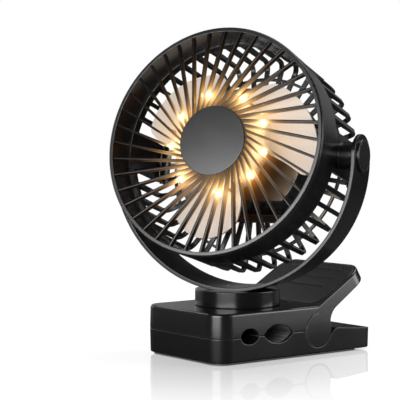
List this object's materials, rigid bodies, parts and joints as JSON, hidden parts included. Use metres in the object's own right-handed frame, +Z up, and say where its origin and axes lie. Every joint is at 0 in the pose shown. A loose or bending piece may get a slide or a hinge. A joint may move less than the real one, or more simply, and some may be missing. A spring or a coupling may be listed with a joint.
{
  "type": "portable clip desk fan",
  "caption": "Round caged desk fan with a ring of small lamps, tilting in a half-ring yoke that swivels on a sprung clip base with a fold-out hook.",
  "frame": {"origin": "on the table, under the swivel axis, in the plane of the rubber foot ring", "axes": "+Z up along the swivel axis; -Y towards the clip's mouth, +Y towards its lever and tail; +X across the clip. At rest the head is turned 25.2 degrees towards +X and tilted 15 up."},
  "size_m": [0.186, 0.1701, 0.2342],
  "materials": {
    "black_plastic": "fine satin moulding texture",
    "grip_panel": "satin, with raised finger ridges",
    "soft_rubber": "matt soft rubber",
    "steel": "plain zinc-plated steel",
    "hook_wire": "bright bent wire",
    "magnet_plate": "nickel-plated",
    "ferrite": "dull grey magnet",
    "copper_wire": "varnished copper wire",
    "circuit_board": "green solder mask",
    "cell_wrap": "laminated foil",
    "socket_shell": "drawn steel sheet",
    "hub_grey": "smooth satin grey",
    "blade_cream": "translucent cream",
    "lamp_lens": "lit warm-white lens",
    "lamp_ring": "clear light guide, warm near the lamps",
    "button_cap": "smooth, slightly domed",
    "indicator": "milky window"
  },
  "bodies": {
    "lower_jaw": {"lower_jaw_shell": "black_plastic", "base_plate": "black_plastic", "foot_ring": "soft_rubber", "base_screws": "steel", "battery_cells": "cell_wrap", "base_magnets": "magnet_plate", "charge_board": "circuit_board", "usb_c_socket": "socket_shell", "hinge_pin": "steel", "lower_grip_pad": "soft_rubber"},
    "hook": {"wire_hook": "hook_wire"},
    "upper_jaw": {"upper_jaw_shell": "black_plastic", "lever_grip": "grip_panel", "upper_jaw_plate": "black_plastic", "upper_grip_pad": "soft_rubber", "jaw_screws": "steel", "torsion_spring": "steel", "swivel_base": "black_plastic"},
    "yoke": {"turntable": "black_plastic", "yoke_arm": "black_plastic", "yoke_screws": "steel", "swivel_washer": "steel", "swivel_screw": "steel", "friction_washers": "black_plastic", "pivot_caps": "black_plastic"},
    "head": {"front_ring": "black_plastic", "front_grille": "black_plastic", "hub_disc": "hub_grey", "lamp_board": "lamp_ring", "lamps": "lamp_lens", "rear_shell": "black_plastic", "motor_housing": "black_plastic", "housing_screws": "steel", "stator_core": "steel", "stator_coils": "copper_wire", "motor_bearings": "steel", "rear_cover": "black_plastic", "control_board": "circuit_board", "tact_switches": "black_plastic", "indicator_lens": "indicator", "pivot_screws": "steel"},
    "rotor": {"fan_blades": "blade_cream", "rotor_can": "steel", "rotor_magnet": "ferrite", "motor_shaft": "steel"},
    "power_button": {"power_button": "button_cap"},
    "light_button": {"light_button": "button_cap"}
  },
  "joints": [
    {"name": "clip_hinge", "type": "hinge", "parent": "lower_jaw", "child": "upper_jaw", "pos_m": [0, 0.0395, 0.0183], "axis": [-1, 0, 0], "range_deg": [0, 35], "stiffness_Nm_per_rad": 0.9, "springref_deg": -57.3, "deforming": ["torsion_spring"]},
    {"name": "hook_fold", "type": "hinge", "parent": "lower_jaw", "child": "hook", "pos_m": [0, 0.0065, 0.0019], "axis": [1, 0, 0], "range_deg": [0, 95]},
    {"name": "swivel", "type": "hinge", "parent": "upper_jaw", "child": "yoke", "pos_m": [0, 0, 0.0376], "axis": [0, 0, 1], "range_deg": [-180, 180]},
    {"name": "head_tilt", "type": "hinge", "parent": "yoke", "child": "head", "pos_m": [0, 0, 0.1436], "axis": [-0.9048, -0.4258, 0], "range_deg": [-180, 180]},
    {"name": "fan_spin", "type": "hinge", "parent": "head", "child": "rotor", "pos_m": [0, 0, 0.1436], "axis": [0.4113, -0.874, 0.2588], "continuous": true},
    {"name": "power_press", "type": "slide", "parent": "head", "child": "power_button", "axis": [0.4113, -0.874, 0.2588], "range_m": [0, 0.0005], "stiffness_N_per_m": 2000},
    {"name": "light_press", "type": "slide", "parent": "head", "child": "light_button", "axis": [0.4113, -0.874, 0.2588], "range_m": [0, 0.0005], "stiffness_N_per_m": 2000}
  ]
}
